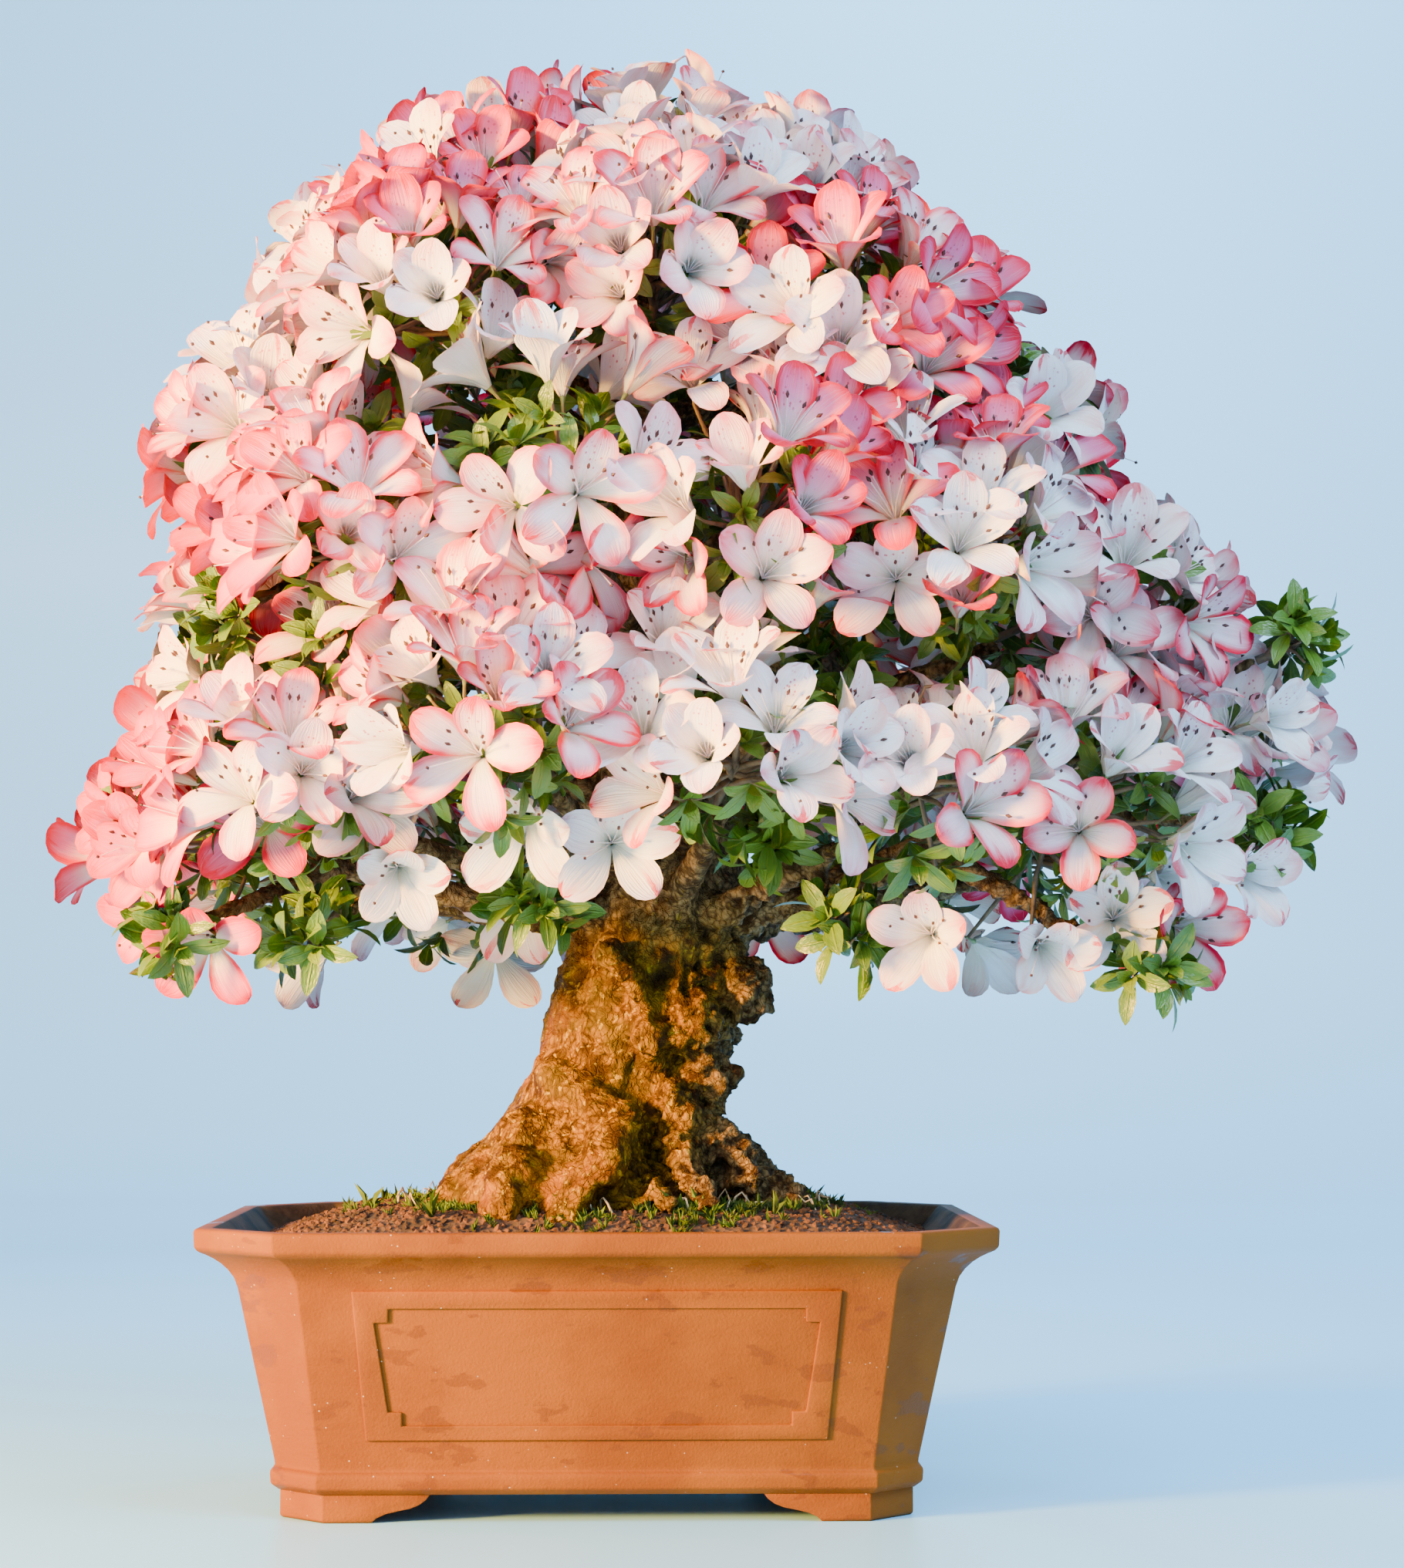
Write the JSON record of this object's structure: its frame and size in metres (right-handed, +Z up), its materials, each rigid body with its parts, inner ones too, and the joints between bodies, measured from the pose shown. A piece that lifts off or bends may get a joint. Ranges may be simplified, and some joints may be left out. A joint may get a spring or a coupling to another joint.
{
  "type": "potted azalea bonsai",
  "caption": "Flowering azalea bonsai with a stout rooted trunk and a domed crown of blossom, planted in a long clay pot with cut corners and bracket feet.",
  "frame": {"origin": "on the ground plane, in the middle of the whole outline seen from above; the pot's own middle lies 55.1 mm to -X and 7.4 mm to -Y of it", "axes": "+Z up; the pot's front faces -Y; +X is to the right seen from the front"},
  "size_m": [0.6786, 0.5102, 0.7693],
  "materials": {
    "clay": "unglazed orange-brown terracotta, smooth and matt, a little darker where it is wet",
    "earth": "dark reddish-brown clay granules with moss",
    "wood": "tan-ochre bark, smooth and streaked on the left, gnarled and pitted on the right",
    "screen": "black moulded plastic mesh",
    "petal_white": "soft translucent white petals with pink edges and fine pink stripes",
    "petal_rose": "soft salmon-rose petals with paler throats",
    "leaf": "glossy green leaves with a paler rib"
  },
  "bodies": {
    "root": {"pot": "clay", "soil": "earth", "trunk": "wood", "drain_screen_left": "screen", "drain_screen_right": "screen", "crest": "petal_white", "crest_left": "petal_rose", "crest_right": "petal_white", "crest_back": "petal_white", "upper_front": "petal_white", "upper_left": "petal_white", "upper_left_front": "petal_white", "upper_right": "petal_white", "upper_right_front": "petal_rose", "upper_back": "petal_white", "upper_back_left": "petal_white", "middle_left": "petal_white", "middle_left_back": "petal_white", "middle_right": "petal_rose", "middle_right_back": "petal_white", "waist_front": "petal_rose", "waist_left_front": "petal_white", "waist_left": "petal_white", "waist_centre": "petal_white", "waist_right_front": "petal_white", "waist_right": "petal_white", "waist_right_back": "petal_white", "waist_back": "petal_white", "waist_back_mid": "petal_white", "waist_left_back": "petal_white", "skirt_front_left": "petal_white", "skirt_front_right": "petal_white", "skirt_left_front": "petal_white", "skirt_left_tip": "petal_rose", "skirt_left_back": "petal_white", "skirt_right_front": "petal_white", "skirt_right": "petal_white", "skirt_right_tip": "petal_white", "skirt_right_back": "petal_white", "skirt_back_right": "petal_white", "skirt_back": "petal_white", "skirt_back_left": "petal_white", "spray_right_tip": "leaf", "spray_right_low": "leaf", "spray_right_hem": "leaf", "spray_trunk_right": "leaf", "spray_trunk_front": "leaf", "spray_trunk_left": "leaf", "spray_left_hem": "leaf", "spray_left_tip": "leaf", "spray_left_gap": "leaf", "spray_centre_gap": "leaf", "spray_upper_gap": "leaf", "spray_back_hem": "leaf"}
  },
  "joints": []
}
